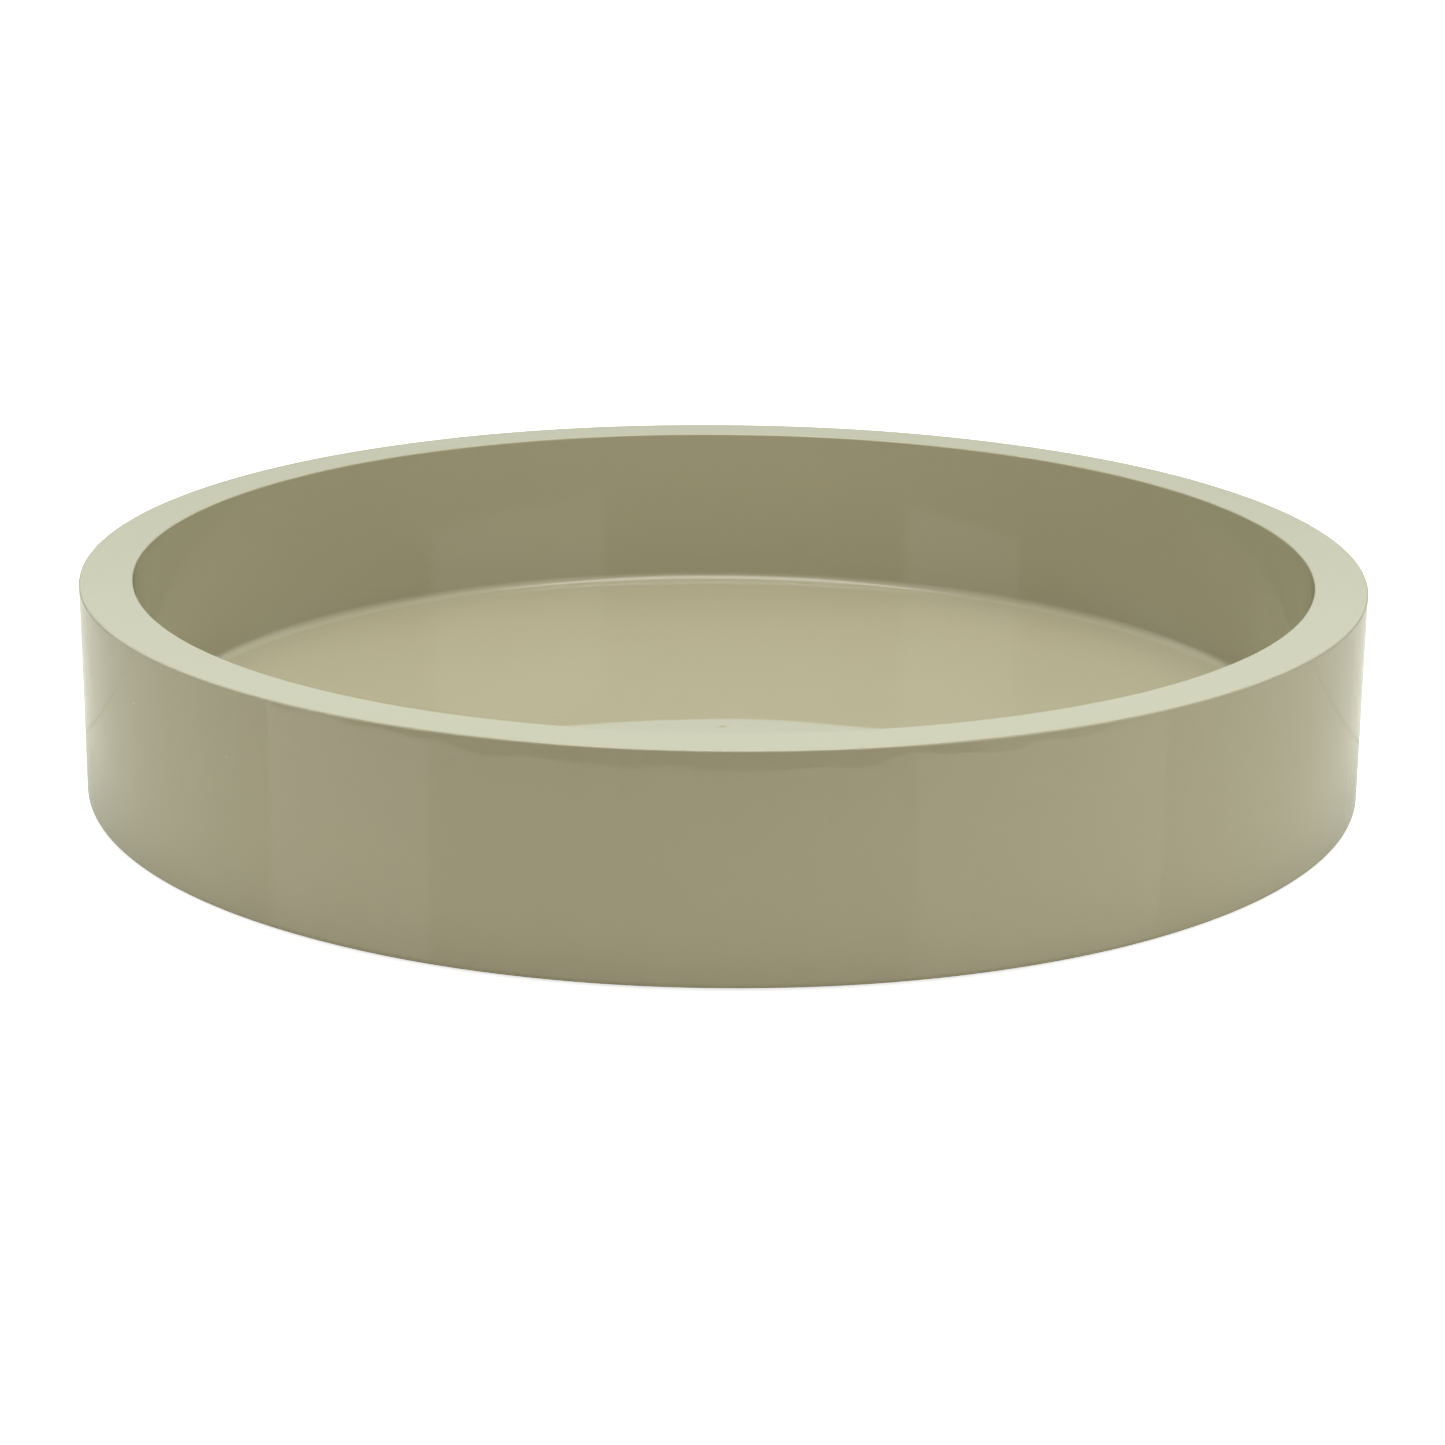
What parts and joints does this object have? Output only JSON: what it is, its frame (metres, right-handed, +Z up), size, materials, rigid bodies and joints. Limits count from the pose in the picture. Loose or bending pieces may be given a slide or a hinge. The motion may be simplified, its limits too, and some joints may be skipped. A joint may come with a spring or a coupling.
{
  "type": "round vanity tray",
  "caption": "Round, straight-sided, thick-walled gloss lacquer tray with a deep flat floor, for holding bottles and small things on a dresser.",
  "frame": {"origin": "middle of the felt face that the tray stands on", "axes": "+Z up along the tray's axis of revolution; +X and +Y lie in the surface it stands on, with no preferred direction round the tray"},
  "size_m": [0.36, 0.36, 0.0613],
  "materials": {
    "lacquer": "high-gloss polished lacquer, grey-green beige",
    "sheet_board": "raw sawn fibreboard",
    "dowel_wood": "raw beech",
    "felt": "short dense felt"
  },
  "bodies": {
    "root": {"lacquer_coat": "lacquer", "base_disc": "sheet_board", "bottom_wall_ring": "sheet_board", "lower_wall_ring": "sheet_board", "upper_wall_ring": "sheet_board", "rim_ring": "sheet_board", "wall_dowels": "dowel_wood", "felt_pad": "felt"}
  },
  "joints": []
}
